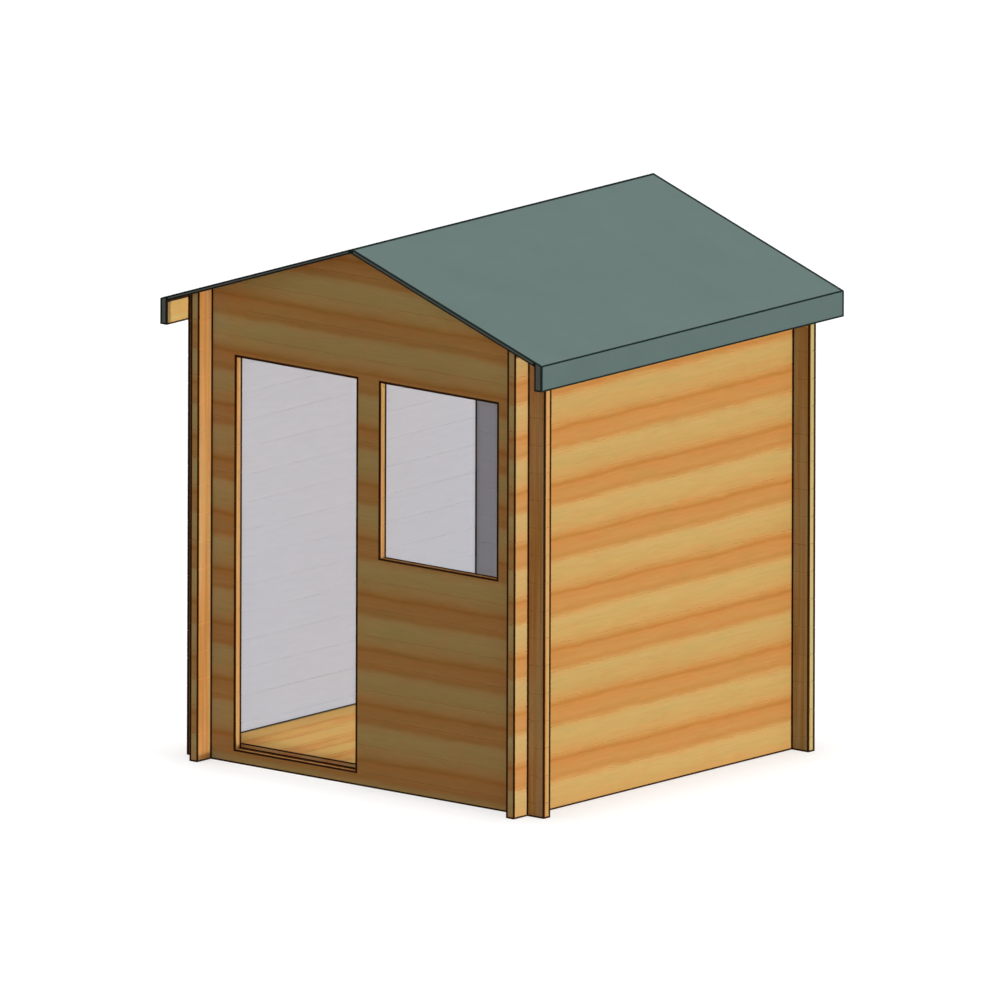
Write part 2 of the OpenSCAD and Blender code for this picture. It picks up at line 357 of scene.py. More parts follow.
# Edge lines: the dark line along the edges of a piece. Middle and Half size are those of the
# box whose edges are drawn. The mask is 1 on the line. A face takes the lines at right angles
# to an axis while its normal along that axis is under the limit.
edge_lines, given, result = new_group(
    "edge_lines",
    [(label, "Vector") for label in ("Position", "Normal", "Middle", "Half size", "Widths", "Limits")],
    [("Mask", "Float")],
)
offset = vector_maths(edge_lines, "SUBTRACT", given["Position"], given["Middle"])
from_middle = vector_maths(edge_lines, "ABSOLUTE", offset)
beyond = vector_maths(edge_lines, "SUBTRACT", from_middle, given["Half size"])
from_sides = vector_maths(edge_lines, "ABSOLUTE", beyond)
facing = vector_maths(edge_lines, "ABSOLUTE", given["Normal"])
mask = 0.0
vectors = (from_sides, facing, given["Widths"], given["Limits"])
for distance, turned, width, limit in zip(*[split(edge_lines, vector) for vector in vectors]):
    line = draw_line(edge_lines, distance, width)
    seen = maths(edge_lines, "LESS_THAN", turned, limit)
    mask = maths(edge_lines, "MAXIMUM", mask, maths(edge_lines, "MULTIPLY", line, seen))
feed(edge_lines, result["Mask"], mask)


def draw_box_lines(
    tree, position, normal, low, high, widths=LINE_WIDTHS, lean=NO_LEAN, limits=EASED_EDGE_LIMITS
):
    """Mask of the edges of the box from low to high. Lean moves the lines that way, so that
    they are broader on one side of a piece than on the other."""
    return use_group(
        tree,
        edge_lines,
        Position=position,
        Normal=normal,
        Middle=(Vector(low) + Vector(high)) / 2 + lean,
        Half_size=(Vector(high) - Vector(low)) / 2,
        Widths=widths,
        Limits=limits,
    )["Mask"]


def darkest(tree, masks):
    """Joins several line masks into one."""
    joined = masks[0]
    for mask in masks[1:]:
        joined = maths(tree, "MAXIMUM", joined, mask)
    return joined


def darken(tree, mask, colour, line_colour=LINE_COLOUR):
    """Draws the lines of a mask over a colour."""
    return blend(tree, mask, colour, line_colour)


LEVEL_PLAY = 0.002


def step_line(tree, position, normal, edge, level, width):
    """Line along the front or inner edge of an upward face at a height of level. It is broad,
    because such a face is seen from low down."""
    depth, height = split(tree, position)[1:]
    line = draw_line(tree, maths(tree, "SUBTRACT", maths(tree, "ABSOLUTE", depth), edge), width)
    at_level = maths(tree, "COMPARE", height, level, LEVEL_PLAY)
    faces_up = maths(tree, "GREATER_THAN", split(tree, normal)[2], SQUARELY)
    return maths(tree, "MULTIPLY", line, maths(tree, "MULTIPLY", at_level, faces_up))


FLOOR_LINE_WIDTHS = Vector((0.006, 0.005, 0.005))
FLOOR_FRONT_LINE_WIDTH = 0.010

floor_low, floor_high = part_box("floor_deck")
material, tree, shader, position, normal = new_material("floor_board_timber", specular=0.06)
x, y, z = split(tree, position)
leftwards = maths(tree, "MULTIPLY", x, -1.0)
wood = use_group(tree, banded_pine, Along=y, Across=leftwards, Streak=-FLOOR_STREAK, Wander=FLOOR_WANDER)
patches = noise(tree, vector_maths(tree, "MULTIPLY", position, PATCHES_PER_METRE), detail=2.0)
worn = spread(tree, patches, *PATCH_RANGE, *PATCH_STRAW)
floor_colour = blend(tree, worn, wood["Color"], FLOOR_STRAW)
to_front = maths(tree, "LESS_THAN", split(tree, normal)[1], -SQUARELY)
floor_colour = blend(tree, to_front, floor_colour, FLOOR_END_PAINTED_LIGHT, "MULTIPLY")
edges = draw_box_lines(tree, position, normal, floor_low, floor_high, FLOOR_LINE_WIDTHS)
front_edge = step_line(tree, position, normal, floor_high.y, floor_high.z, FLOOR_FRONT_LINE_WIDTH)
floor_lines = darkest(tree, [edges, front_edge])
tree.links.new(darken(tree, floor_lines, floor_colour), shader.inputs["Base Color"])
tree.links.new(wood["Roughness"], shader.inputs["Roughness"])
raise_surface(tree, shader, wood["Height"], PLANED_DEPTH)


def new_piece(name, mesh, material, slot, *nodes):
    """Turns a finished bmesh into a piece on the cabin that stands for CAD nodes."""
    data = bpy.data.meshes.new(name)
    mesh.to_mesh(data)
    mesh.free()
    data.materials.append(material)
    piece = bpy.data.objects.new(name, data)
    bpy.context.scene.collection.objects.link(piece)
    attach(piece, "root")
    if nodes:
        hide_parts(*nodes)
    return piece


def add_board(mesh, low, high, eased, radius, lean=0.0):
    """Adds a board from low to high. `eased` picks the edges to round by their middle and
    direction, and lean shears it down along X by that slope."""
    size = Vector(high) - Vector(low)
    made = bmesh.ops.create_cube(mesh, size=1.0)["verts"]
    bmesh.ops.scale(mesh, vec=size, verts=made)
    bmesh.ops.translate(mesh, vec=(Vector(low) + Vector(high)) / 2, verts=made)
    edges = {edge for vert in made for edge in vert.link_edges}
    picked = []
    for edge in edges:
        start, end = (vert.co for vert in edge.verts)
        if eased((start + end) / 2, (end - start).normalized()):
            picked.append(edge)
    rounded = bmesh.ops.bevel(
        mesh,
        geom=picked,
        offset=radius,
        offset_type="OFFSET",
        affect="EDGES",
        segments=2,
        profile=0.5,
        material=-1,
    )
    every = {vert for vert in made if vert.is_valid} | set(rounded["verts"])
    if lean:
        shear = Matrix.Identity(4)
        shear[2][0] = -lean
        bmesh.ops.transform(mesh, matrix=shear, verts=list(every))


def long_upper_edge(middle, direction):
    """Whether an edge of a floor board, given by its middle and direction, is eased."""
    return abs(direction.y) > SQUARELY and middle.z > floor_high.z - HAIR


mesh = bmesh.new()
pitch = (floor_high.x - floor_low.x) / BOARD_COUNT
for index in range(BOARD_COUNT):
    start = floor_low.x + index * pitch
    add_board(
        mesh,
        (start + BOARD_GAP / 2, floor_low.y, floor_low.z),
        (start + pitch - BOARD_GAP / 2, floor_high.y, floor_high.z),
        eased=long_upper_edge,
        radius=FLOOR_EDGE_RADIUS,
    )
new_piece("floor_boards", mesh, material, "floor_timber", "floor_deck")

# ---- Log walls ----
# Planed 44 mm softwood logs lie tongue and groove on each other and are notched where they
# cross at the corners, so nothing but their own weight and the notches holds them. Outside
# they are oiled, and inside they have a pale grey coat.

LOG_HEIGHT = 0.120
LOG_JOINT = 0.0005
SILL_CUT = 0.015  # taken out of the log under the window
HEAD_CUT = 0.030  # taken out of the log over both openings
LOG_SHADES = (0.985, 1.015)  # of the darkest log and the palest
SIDE_STREAK = 0.215  # where one orange band starts on the side walls
CROSS_STREAK = 0.118  # where one orange band starts on the front and back walls
FRONT_STRAW = 0.08  # how pale the cut ends of the front wall's logs are
BACK_STRAW = 0.40
# Painted shade greys the broad faces of the logs past the corners, against the orange
# light thrown on them from the walls beside, the back ones more so.
FRONT_END_PAINTED_SHADE = (0.82, 0.94, 1.10, 1.0)
BACK_END_PAINTED_SHADE = (0.69, 0.98, 1.40, 1.0)
SIDE_END_WEAR = (1.03, 1.09, 1.27, 1.0)  # the ends of the side walls' logs have paled
FRONT_PAINTED_LIGHT = (1.05, 1.07, 1.14, 1.0)  # painted light: the front is a little paler and bluer, making up for light its lamps miss
CORNER_PAINTED_SHADE = (0.76, 1.21, 2.08, 1.0)  # and painted shade greys its left corner, against the orange light the log ends throw on it
CORNER_SHADE_WIDTH = 0.16
UNDER_ROOF_PAINTED_LIGHT = (1.16, 1.26, 1.28, 1.0)  # painted light: the gables are paler close under the roof, against the shade of the verges
UNDER_ROOF_LIGHT_DEPTH = 0.33
LOW_PAINTED_LIGHT = (1.09, 1.08, 1.10, 1.0)  # and painted light makes the lowest logs a little paler, against the shade near the ground
LOW_LIGHT_HEIGHT = 0.30
THIN_COAT = srgb(191, 189, 193)
FULL_COAT = srgb(195, 193, 197)
COAT_MARKS_PER_METRE = (9.0, 9.0, 60.0)
CROSS_COAT_PAINTED_SHADE = (0.795, 0.85, 0.90)  # painted shade: the coat on the front and back walls is darker, as they face away from the side lamp
LOW_COAT_PAINTED_SHADE = (0.85, 0.91, 0.98, 1.0)  # and painted shade greys the coat towards the floor, against the warm light the floor throws
COAT_SHADE_HEIGHT = 1.3
COAT_GRAIN = 0.15  # how much of the grain still shows through the coat
# Painted light on the eased edges, against the shade in the V of each joint: how much paler
# they are outside and in the room, on the side walls and then on the front and back walls.
EASED_EDGE_PAINTED_LIGHT = ((1.28, 1.24), (1.18, 1.16))
EASED_FACING = (0.3, 0.9)  # between these, a face looks up or down as an eased edge does
WITH_EASED_EDGES = 0.7  # as SQUARELY, but it takes in the eased edges beside a face
MAINLY = 0.5  # as SQUARELY, but it takes in all that looks more that way than another

log_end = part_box("front_sill_log")[1].x
side_low, side_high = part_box("right_wall_logs")
outer_face, inner_face = side_high.x, side_low.x
walls_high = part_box("front_gable_peak")[1].z
ROOF_PITCH = math.radians(18.9)
SLOPE = math.tan(ROOF_PITCH)  # of both sides of the roof

OPENING_LINE_WIDTH = 0.0095
OPENING_LINE_LEAN = Vector((0.0020, 0.0, 0.0015))
DOOR_STEP_LINE_WIDTH = 0.024
WINDOW_STEP_LINE_WIDTH = 0.025
SKIRTING_WIDTHS = Vector((0.006, 0.006, 0.006))
ROOM_LINE_COLOUR = srgb(56, 53, 52)
FAR = 9.0  # a side of a box this far out draws no line

# The lines at the ends of the logs and at the two faces of the walls: how far out they are,
# their widths and their lean. First for the side walls, then for the front and back walls.
side_edges = (Vector((0.0090, 0.0070, 0.0090)), Vector((0.0020, 0.0, 0.0)))
cross_ends = (Vector((0.0115, 0.0075, 0.0090)), Vector((0.0035, 0.0, 0.0)))
outer_edges = (Vector((0.0060, 0.0121, 0.0090)), Vector((0.0, -0.0025, 0.0)))
inner_edges = (Vector((0.0060, 0.0112, 0.0090)), Vector((0.0, -0.0013, 0.0)))
edge_styles = [
    [(log_end, LINE_WIDTHS, NO_LEAN), (outer_face, *side_edges), (inner_face, *side_edges)],
    [(log_end, *cross_ends), (outer_face, *outer_edges), (inner_face, *inner_edges)],
]

# Opening lines: the same dark line round a doorway or window, on the two faces of a wall
# that runs along X. Middle and Half size count along X and Z only.
opening_lines, given, result = new_group(
    "opening_lines",
    [
        ("Position", "Vector"),
        ("Normal", "Vector"),
        ("Middle", "Vector"),
        ("Half size", "Vector"),
        ("Width", "Float"),
    ],
    [("Mask", "Float")],
)
offset = vector_maths(opening_lines, "SUBTRACT", given["Position"], given["Middle"])
from_middle = vector_maths(opening_lines, "ABSOLUTE", offset)
beyond = split(opening_lines, vector_maths(opening_lines, "SUBTRACT", from_middle, given["Half size"]))
from_rim = maths(opening_lines, "ABSOLUTE", maths(opening_lines, "MAXIMUM", beyond[0], beyond[2]))
line = draw_line(opening_lines, from_rim, given["Width"])
turned = maths(opening_lines, "ABSOLUTE", split(opening_lines, given["Normal"])[1])
seen = maths(opening_lines, "GREATER_THAN", turned, WITH_EASED_EDGES)
feed(opening_lines, result["Mask"], maths(opening_lines, "MULTIPLY", line, seen))


def log_shade(tree, height, out):
    """Each log's own shade. The rows of the front and back walls start half a log lower."""
    in_rows = maths(tree, "ADD", height, 0.5 * out * LOG_HEIGHT)
    row = maths(tree, "FLOOR", maths(tree, "DIVIDE", in_rows, LOG_HEIGHT))
    own = tree.nodes.new("ShaderNodeTexWhiteNoise")
    own.noise_dimensions = "1D"
    tree.links.new(row, own.inputs["W"])
    return spread(tree, own.outputs["Value"], 0.0, 1.0, *LOG_SHADES)


def weathered_with_painted_light(tree, colour, axes, sideways, out, front):
    """The banded timber of a wall, with painted light and shade, and the side walls' log ends paled."""
    if front:
        in_corner = spread(tree, axes[0], -outer_face, CORNER_SHADE_WIDTH - outer_face, 1.0, 0.0)
        front_light_and_shade = blend(tree, in_corner, FRONT_PAINTED_LIGHT, CORNER_PAINTED_SHADE)
        colour = vector_maths(tree, "MULTIPLY", colour, front_light_and_shade)
    if out:
        at_ridge = maths(tree, "MULTIPLY_ADD", sideways, SLOPE, axes[2])
        near_roof = spread(tree, at_ridge, walls_high - UNDER_ROOF_LIGHT_DEPTH, walls_high)
        colour = blend(tree, near_roof, colour, UNDER_ROOF_PAINTED_LIGHT, "MULTIPLY")
    else:
        past_corner = maths(tree, "GREATER_THAN", sideways, outer_face)
        colour = blend(tree, past_corner, colour, SIDE_END_WEAR, "MULTIPLY")
    near_ground = spread(tree, axes[2], 0.0, LOW_LIGHT_HEIGHT, 1.0, 0.0)
    return blend(tree, near_ground, colour, LOW_PAINTED_LIGHT, "MULTIPLY")


def room_coat(tree, position, height, out):
    """The pale grey coat of the room, darker by painted shade on the front and back and near the floor.
    """
    marks = noise(tree, vector_maths(tree, "MULTIPLY", position, COAT_MARKS_PER_METRE), detail=3.0)
    coat = ramp(tree, marks, [(0.25, THIN_COAT), (0.75, FULL_COAT)])
    if out:
        coat = vector_maths(tree, "MULTIPLY", coat, CROSS_COAT_PAINTED_SHADE)
    near_floor = spread(tree, height, 0.0, COAT_SHADE_HEIGHT, 1.0, 0.0)
    return blend(tree, near_floor, coat, LOW_COAT_PAINTED_SHADE, "MULTIPLY")


def paint_light_on_eased_edges(tree, colour, facing_up, in_room, out):
    """Colour with painted light on the eased edges, against the shade in the V of each joint."""
    upright = maths(tree, "ABSOLUTE", facing_up)
    over = maths(tree, "GREATER_THAN", upright, EASED_FACING[0])
    under = maths(tree, "LESS_THAN", upright, EASED_FACING[1])
    eased = maths(tree, "MULTIPLY", over, under)
    paler = spread(tree, in_room, 0.0, 1.0, *EASED_EDGE_PAINTED_LIGHT[out])
    return blend(tree, eased, colour, shaded(tree, colour, paler))


def wall_lines(tree, position, normal, in_room, out, openings):
    """Mask of a wall's lines: at the log ends and the faces, round the openings and, in the
    room, along the floor."""
    masks = []
    for size, widths, lean in edge_styles[out]:
        low = (-size, -size, 0.0)
        masks.append(draw_box_lines(tree, position, normal, low, (size, size, FAR), widths, lean))
    for left, right, bottom, top, step_width in openings:
        rim = use_group(
            tree,
            opening_lines,
            Position=position,
            Normal=normal,
            Middle=Vector(((left + right) / 2, 0.0, (bottom + top) / 2)) + OPENING_LINE_LEAN,
            Half_size=((right - left) / 2, 0.0, (top - bottom) / 2),
            Width=OPENING_LINE_WIDTH,
        )
        masks.append(rim["Mask"])
        masks.append(step_line(tree, position, normal, inner_face, bottom, step_width))
    low = (-FAR, -FAR, floor_high.z)
    skirting = draw_box_lines(tree, position, normal, low, (FAR, FAR, FAR), SKIRTING_WIDTHS)
    masks.append(maths(tree, "MULTIPLY", skirting, in_room))
    return darkest(tree, masks)


def wall_timber(name, out, streak, end_painted_shade=None, straw=0.0, openings=()):
    """Timber of a wall that faces along the axis `out`, 0 for a side wall and 1 for the front
    or back: banded outside and coated inside. Past the corners a side wall is banded too, and
    the front and back are plain, with painted shade greying their broad faces and their cut
    ends in straw. Openings are a list of (left, right, bottom, top, step line's width)."""
    material, tree, shader, position, normal = new_material(name, specular=0.05)
    axes = split(tree, position)
    facing = split(tree, normal)
    sideways = maths(tree, "ABSOLUTE", axes[1 - out])
    cut_end = maths(tree, "GREATER_THAN", maths(tree, "ABSOLUTE", facing[1 - out]), MAINLY)
    # 1 on a face that looks away from the room, -1 on one that looks into it.
    away = maths(tree, "MULTIPLY", facing[out], maths(tree, "SIGN", axes[out]))
    outside = maths(tree, "GREATER_THAN", away, MAINLY)
    beside_room = maths(tree, "LESS_THAN", sideways, inner_face + HAIR)
    in_room = maths(tree, "MULTIPLY", maths(tree, "LESS_THAN", away, -MAINLY), beside_room)

    along = maths(tree, "ADD", axes[0], axes[1])
    banded = use_group(tree, banded_pine, Along=along, Across=axes[2], Streak=streak, Wander=1.0)
    end_straw = maths(tree, "MULTIPLY", cut_end, straw)
    plain = use_group(tree, plain_pine, Position=position, Stripe_width=STRIPE_WIDTH, Straw=end_straw)
    plain_colour = plain["Color"]
    if out:
        in_bands = maths(tree, "MULTIPLY", outside, maths(tree, "LESS_THAN", sideways, outer_face))
        past_corner = maths(tree, "GREATER_THAN", sideways, outer_face + HAIR)
        broad_face = maths(tree, "GREATER_THAN", maths(tree, "ABSOLUTE", facing[1]), MAINLY)
        painted_shade_faces = maths(tree, "MULTIPLY", past_corner, broad_face)
        plain_colour = blend(tree, painted_shade_faces, plain_colour, end_painted_shade, "MULTIPLY")
    else:
        in_bands = maths(tree, "MAXIMUM", outside, cut_end)
    banded_colour = weathered_with_painted_light(tree, banded["Color"], axes, sideways, out, front=bool(openings))
    timber = blend(tree, in_bands, plain_colour, banded_colour)
    timber = shaded(tree, timber, log_shade(tree, axes[2], out))
    colour = blend(tree, in_room, timber, room_coat(tree, position, axes[2], out))
    colour = paint_light_on_eased_edges(tree, colour, facing[2], in_room, out)
    lines = wall_lines(tree, position, normal, in_room, out, openings)
    line_colour = blend(tree, in_room, LINE_COLOUR, ROOM_LINE_COLOUR)
    tree.links.new(darken(tree, lines, colour, line_colour), shader.inputs["Base Color"])
    tree.links.new(banded["Roughness"], shader.inputs["Roughness"])

    height = tree.nodes.new("ShaderNodeMix")
    for index, value in ((0, in_bands), (2, plain["Height"]), (3, banded["Height"])):
        feed(tree, height.inputs[index], value)
    filled = spread(tree, in_room, 0.0, 1.0, 1.0, COAT_GRAIN)
    raise_surface(tree, shader, maths(tree, "MULTIPLY", height.outputs[0], filled), PLANED_DEPTH)
    return material


door_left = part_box("front_logs_left_of_door")[1].x
door_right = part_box("front_logs_between_openings")[0].x
door_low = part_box("front_logs_left_of_door")[0].z - LOG_JOINT
window_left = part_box("front_logs_between_openings")[1].x
window_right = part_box("front_logs_right_of_window")[0].x
window_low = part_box("front_logs_right_of_window")[0].z - SILL_CUT
openings_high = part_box("front_head_log")[0].z + HEAD_CUT
cuts = [
    (door_left, door_right, door_low, openings_high, DOOR_STEP_LINE_WIDTH),
    (window_left, window_right, window_low, openings_high, WINDOW_STEP_LINE_WIDTH),
]
side_timber = wall_timber("side_wall_timber", out=0, streak=SIDE_STREAK)
back_timber = wall_timber(
    "back_wall_timber", out=1, streak=CROSS_STREAK, end_painted_shade=BACK_END_PAINTED_SHADE, straw=BACK_STRAW
)
front_timber = wall_timber(
    "front_wall_timber",
    out=1,
    streak=CROSS_STREAK,
    end_painted_shade=FRONT_END_PAINTED_SHADE,
    straw=FRONT_STRAW,
    openings=cuts,
)
dress(
    ["left_wall_logs", "left_wall_top_log", "right_wall_logs", "right_wall_top_log"],
    side_timber,
)
dress(
    ["back_sill_log", "back_wall_logs", "back_gable_logs", "back_gable_peak"],
    back_timber,
)
dress(
    [
        "front_sill_log",
        "front_logs_left_of_door",
        "front_logs_below_window",
        "window_sill_log",
        "front_logs_between_openings",
        "front_logs_right_of_window",
        "front_head_log",
        "front_eaves_logs",
        "front_gable_logs",
        "front_gable_peak",
    ],
    front_timber,
)

# ---- Purlins ----
# Three pine purlins run from gable to gable under the roof boards. Their ends sit in
# housings cut into the inner faces of the gable logs.

purlin_timber = sawn_timber("purlin_timber", along=1)
dress(["ridge_purlin", "left_purlin", "right_purlin"], purlin_timber)

# ---- Roof boards ----
# Planed pine boards, 16 mm thick, run from the ridge down to the eaves, nailed to the
# purlins and the side walls. Their lower edges are eased, so each joint is a small V.

ROOF_BOARD_COUNT = 20
ROOF_EDGE_RADIUS = 0.0015
WIDE_STRIPES = 0.030

deck_low, deck_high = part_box("right_roof_deck")
underside_at_ridge = deck_low.z + SLOPE * deck_high.x  # where the undersides would meet
thickness = deck_high.z + SLOPE * deck_low.x - underside_at_ridge  # measured upright
roof_board_timber = sawn_timber("roof_board_timber", along=0, stripe_width=WIDE_STRIPES)


def long_lower_edge(middle, direction):
    """Whether an edge of a roof board is eased. The board is still level here."""
    return abs(direction.x) > SQUARELY and middle.z < underside_at_ridge + HAIR


for side, sign in (("left", -1), ("right", 1)):
    low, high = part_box(side + "_roof_deck")
    mesh = bmesh.new()
    pitch = (high.y - low.y) / ROOF_BOARD_COUNT
    for index in range(ROOF_BOARD_COUNT):
        start = low.y + index * pitch
        add_board(
            mesh,
            (low.x, start + BOARD_GAP / 2, underside_at_ridge),
            (high.x, start + pitch - BOARD_GAP / 2, underside_at_ridge + thickness),
            eased=long_lower_edge,
            radius=ROOF_EDGE_RADIUS,
            lean=sign * SLOPE,
        )
    new_piece(side + "_roof_boards", mesh, roof_board_timber, "roof_timber", side + "_roof_deck")

# ---- Eaves boards ----
# A 36 mm pine board hangs under the edge of the roof boards on each side and stiffens it. Its
# outer face is under the felt, and its inner face stays bare.

EAVES_STRAW = 0.26
EAVES_LINE_WIDTHS = Vector((0.0065, 0.0050, 0.0085))

for side in ("left", "right"):
    low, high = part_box(side + "_eaves_board")
    material = sawn_timber(side + "_eaves_timber", along=1, stripe_width=WIDE_STRIPES, straw=EAVES_STRAW)
    tree = material.node_tree
    shader = tree.nodes["Principled BSDF"]
    place = tree.nodes.new("ShaderNodeTexCoord").outputs
    lines = draw_box_lines(tree, place["Object"], place["Normal"], low, high, EAVES_LINE_WIDTHS)
    bare = shader.inputs["Base Color"].links[0].from_socket
    tree.links.new(darken(tree, lines, bare), shader.inputs["Base Color"])
    dress([side + "_eaves_board"], material)

# ---- Roofing felt ----
# One sheet of green mineral felt covers each slope. It is folded down over the eaves board
# and over the ends of the roof boards, and nailed there out of sight.

FELT_THICKNESS = 0.003
FOLD_RADIUS = 0.004
GRANULES_PER_METRE = 620.0
PATCHES_OF_FELT_PER_METRE = 3.5
GRANULE_RANGE = (0.0, 0.9)  # from a granule's middle to its rim
GRANULE_DEPTH = 0.0004
AT_ALL = 0.1  # as SQUARELY, but it takes in a face that looks that way at all
FELT_GREENS = (srgb(97, 115, 111), srgb(101, 119, 115))
FOLD_LINE_WIDTHS = (0.0085, 0.0051)  # on the left slope and on the right slope
LOWER_LINE_WIDTH = 0.0075
RIDGE_LINE_WIDTH = 0.015
BACK_LINE_WIDTH = 0.021  # broad, because the back verge is seen over the slope
INNER_LINE_WIDTH = 0.009
OUTLINE_WIDTHS = Vector((0.0100, 0.0130, 0.0085))
OUTLINE_LEAN = Vector((0.0035, -0.0020, 0.0))
FELT_LINE_COLOUR = srgb(17, 31, 28)
VERGE_TINT_AND_PAINTED_LIGHT = (1.27, 0.93, 0.85, 1.0)  # felt on the verge faces is tinted browner, with painted light for the shade those faces are in

felt_low, felt_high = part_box("right_roof_felt")
ridge_high = felt_high.z
eaves_face = felt_high.x
verge_face = felt_high.y
board_inner_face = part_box("right_eaves_board")[0].x
eaves_bottom = felt_low.z
eaves_top = ridge_high - SLOPE * eaves_face

material, tree, shader, position, normal = new_material("green_mineral_felt", specular=0.12)
x, y, z = split(tree, position)
granules = tree.nodes.new("ShaderNodeTexVoronoi")
granules.inputs["Scale"].default_value = GRANULES_PER_METRE
tree.links.new(position, granules.inputs["Vector"])
weather = noise(tree, position, scale=PATCHES_OF_FELT_PER_METRE, detail=4.0, roughness=0.6)
felt_colour = ramp(tree, weather, list(zip(NOISE_RANGE, FELT_GREENS)))
from_granule = granules.outputs["Distance"]
grain_shade = spread(tree, from_granule, *GRANULE_RANGE, to_low=1.06, to_high=0.92)
felt_colour = shaded(tree, felt_colour, grain_shade)
facing = split(tree, normal)
on_verge = maths(tree, "GREATER_THAN", maths(tree, "ABSOLUTE", facing[1]), WITH_EASED_EDGES)
felt_colour = blend(tree, on_verge, felt_colour, VERGE_TINT_AND_PAINTED_LIGHT, "MULTIPLY")

# Lines along the felt's edges and folds. at_ridge is how high a slope through this point
# meets the ridge.
across = maths(tree, "ABSOLUTE", x)
at_ridge = maths(tree, "MULTIPLY_ADD", across, SLOPE, z)
upright = maths(tree, "LESS_THAN", maths(tree, "ABSOLUTE", facing[2]), SQUARELY)
over_room = maths(tree, "LESS_THAN", across, board_inner_face)
box_low = (-eaves_face, -verge_face, eaves_bottom)
box_high = (eaves_face, verge_face, FAR)
outline = draw_box_lines(
    tree, position, normal, box_low, box_high, OUTLINE_WIDTHS, OUTLINE_LEAN, ROUNDED_EDGE_LIMITS
)
fold_width = spread(tree, x, -HAIR, HAIR, *FOLD_LINE_WIDTHS)
fold_line = draw_line(tree, maths(tree, "SUBTRACT", at_ridge, ridge_high), fold_width)
lower_line = draw_line(tree, maths(tree, "SUBTRACT", at_ridge, underside_at_ridge), LOWER_LINE_WIDTH)
inner_line = draw_line(tree, maths(tree, "SUBTRACT", across, board_inner_face), INNER_LINE_WIDTH)
back_line = draw_line(tree, maths(tree, "SUBTRACT", y, verge_face), BACK_LINE_WIDTH)
lines = [
    outline,
    draw_line(tree, across, RIDGE_LINE_WIDTH),
    maths(tree, "MULTIPLY", back_line, maths(tree, "SUBTRACT", 1.0, upright)),
    maths(tree, "MULTIPLY", fold_line, upright),
    maths(tree, "MULTIPLY", maths(tree, "MULTIPLY", lower_line, on_verge), over_room),
    maths(tree, "MULTIPLY", inner_line, on_verge),
]
felt_colour = darken(tree, darkest(tree, lines), felt_colour, FELT_LINE_COLOUR)
tree.links.new(felt_colour, shader.inputs["Base Color"])
roughness = spread(tree, from_granule, *GRANULE_RANGE, to_low=0.98, to_high=0.86)
tree.links.new(roughness, shader.inputs["Roughness"])
raise_surface(tree, shader, from_granule, GRANULE_DEPTH)

# What one sheet covers, seen from the front: how far from the middle, and how high.
profile = [
    (0.0, ridge_high),
    (eaves_face, eaves_top),
    (eaves_face, eaves_bottom),
    (board_inner_face, eaves_bottom),
    (board_inner_face, underside_at_ridge - SLOPE * board_inner_face),
    (0.0, underside_at_ridge),
]
for side, sign in (("left", -1), ("right", 1)):
    mesh = bmesh.new()
    corners = [mesh.verts.new((sign * across, -verge_face, up)) for across, up in profile]
    end_plate = mesh.faces.new(corners)
    swept = bmesh.ops.extrude_face_region(mesh, geom=[end_plate])["geom"]
    moved = [part for part in swept if isinstance(part, bmesh.types.BMVert)]
    bmesh.ops.translate(mesh, vec=(0.0, 2 * verge_face, 0.0), verts=moved)
    bmesh.ops.recalc_face_normals(mesh, faces=mesh.faces)
    # Open the underside, so that only what the felt covers is left.
    hidden = []
    for face in mesh.faces:
        middle = face.calc_center_median()
        looks_down = face.normal.z < -AT_ALL
        looks_inwards = face.normal.x * sign < -MAINLY or abs(middle.x) < HAIR
        if abs(face.normal.y) < SQUARELY and (looks_down or looks_inwards):
            hidden.append(face)
    bmesh.ops.delete(mesh, geom=hidden, context="FACES")
    folds = [edge for edge in mesh.edges if len(edge.link_faces) == 2]
    bmesh.ops.bevel(
        mesh,
        geom=folds,
        offset=FOLD_RADIUS,
        offset_type="OFFSET",
        affect="EDGES",
        segments=3,
        profile=0.5,
        material=-1,
    )
    piece = new_piece(side + "_felt_sheet", mesh, material, "roofing_felt", side + "_roof_felt")
    thicken = piece.modifiers.new("felt_thickness", "SOLIDIFY")
    thicken.thickness = FELT_THICKNESS
    thicken.offset = -1.0
    thicken.use_even_offset = True

# ---- Studio ----
# A plain pale floor and a plain white surround. Broad lamps light the cabin, mainly from its
# right, and small flat ones light what the walls and roof keep from them: the room, the sides
# of the openings, the left corner and the eaves.

FLOOR_SIZE = 60.0
FLOOR_GREY = (0.25, 0.25, 0.25, 1.0)
FLOOR_GREY_SEEN = (0.45, 0.45, 0.45, 1.0)
FLOOR_GLOW_SEEN = 0.65
AMBIENT = 0.372  # how much the surround lights the cabin, where 1 is white


def seen_directly(tree):
    """1 for camera, glossy and transmission rays, which see the floor and surround as white."""
    path = tree.nodes.new("ShaderNodeLightPath").outputs
    reflected = maths(tree, "MAXIMUM", path["Is Glossy Ray"], path["Is Transmission Ray"])
    return maths(tree, "MAXIMUM", path["Is Camera Ray"], reflected)


